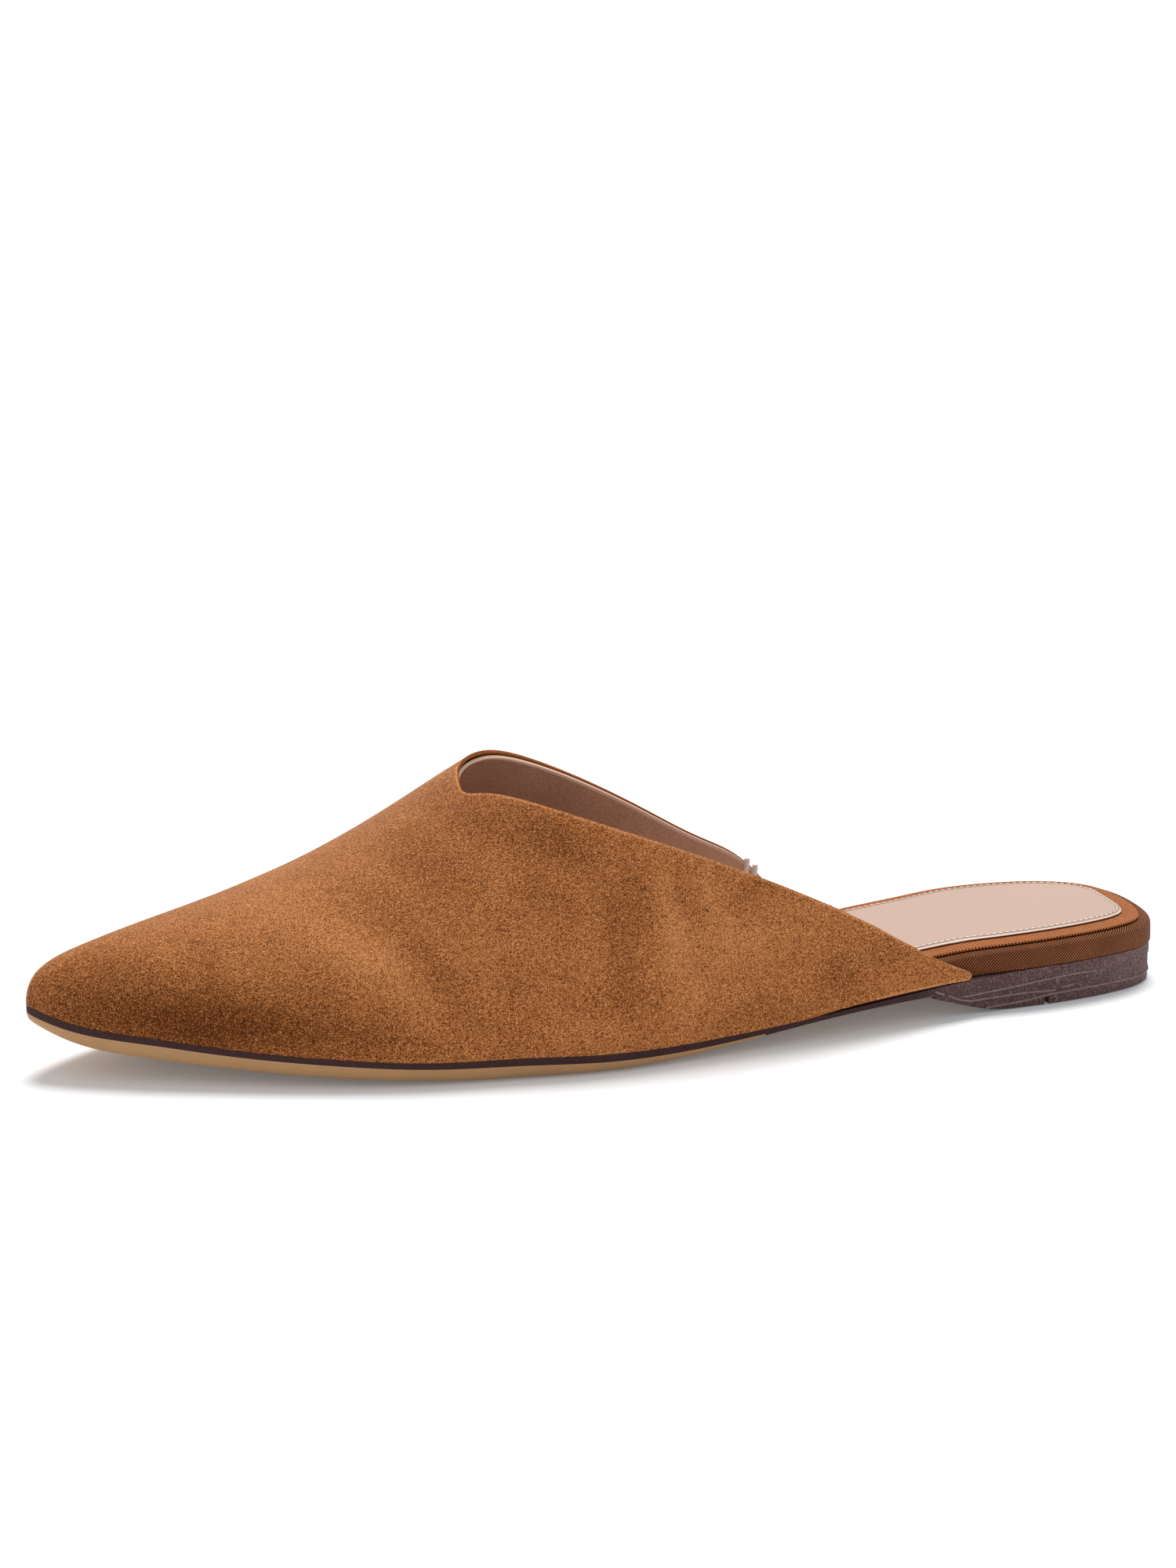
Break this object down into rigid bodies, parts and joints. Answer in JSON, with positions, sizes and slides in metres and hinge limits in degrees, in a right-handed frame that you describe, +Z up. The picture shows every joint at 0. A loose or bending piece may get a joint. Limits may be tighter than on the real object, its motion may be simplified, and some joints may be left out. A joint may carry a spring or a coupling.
{
  "type": "pointed-toe mule",
  "caption": "Backless pointed-toe flat shoe in tan suede: closed vamp that falls away in two low wings, open heel, wrapped footbed and a low stacked heel.",
  "frame": {"origin": "on the floor, under the middle of the shoe's bounding box", "axes": "+X towards the heel, -X towards the toe, +Y to the inner side of the foot, +Z up"},
  "size_m": [0.2617, 0.0788, 0.0595],
  "materials": {
    "suede": "napped suede",
    "sock_leather": "smooth matt leather",
    "lining_leather": "smooth matt leather",
    "ribbed_binding": "ribbed satin ribbon",
    "sole_edge": "painted edge, satin",
    "sole_underside": "natural leather",
    "heel_block": "painted edge, satin",
    "thread": "waxed thread"
  },
  "bodies": {
    "root": {"upper": "suede", "sock": "sock_leather", "footbed_pad": "ribbed_binding", "insole_board": "ribbed_binding", "outsole": "sole_edge", "heel": "heel_block"}
  },
  "joints": []
}
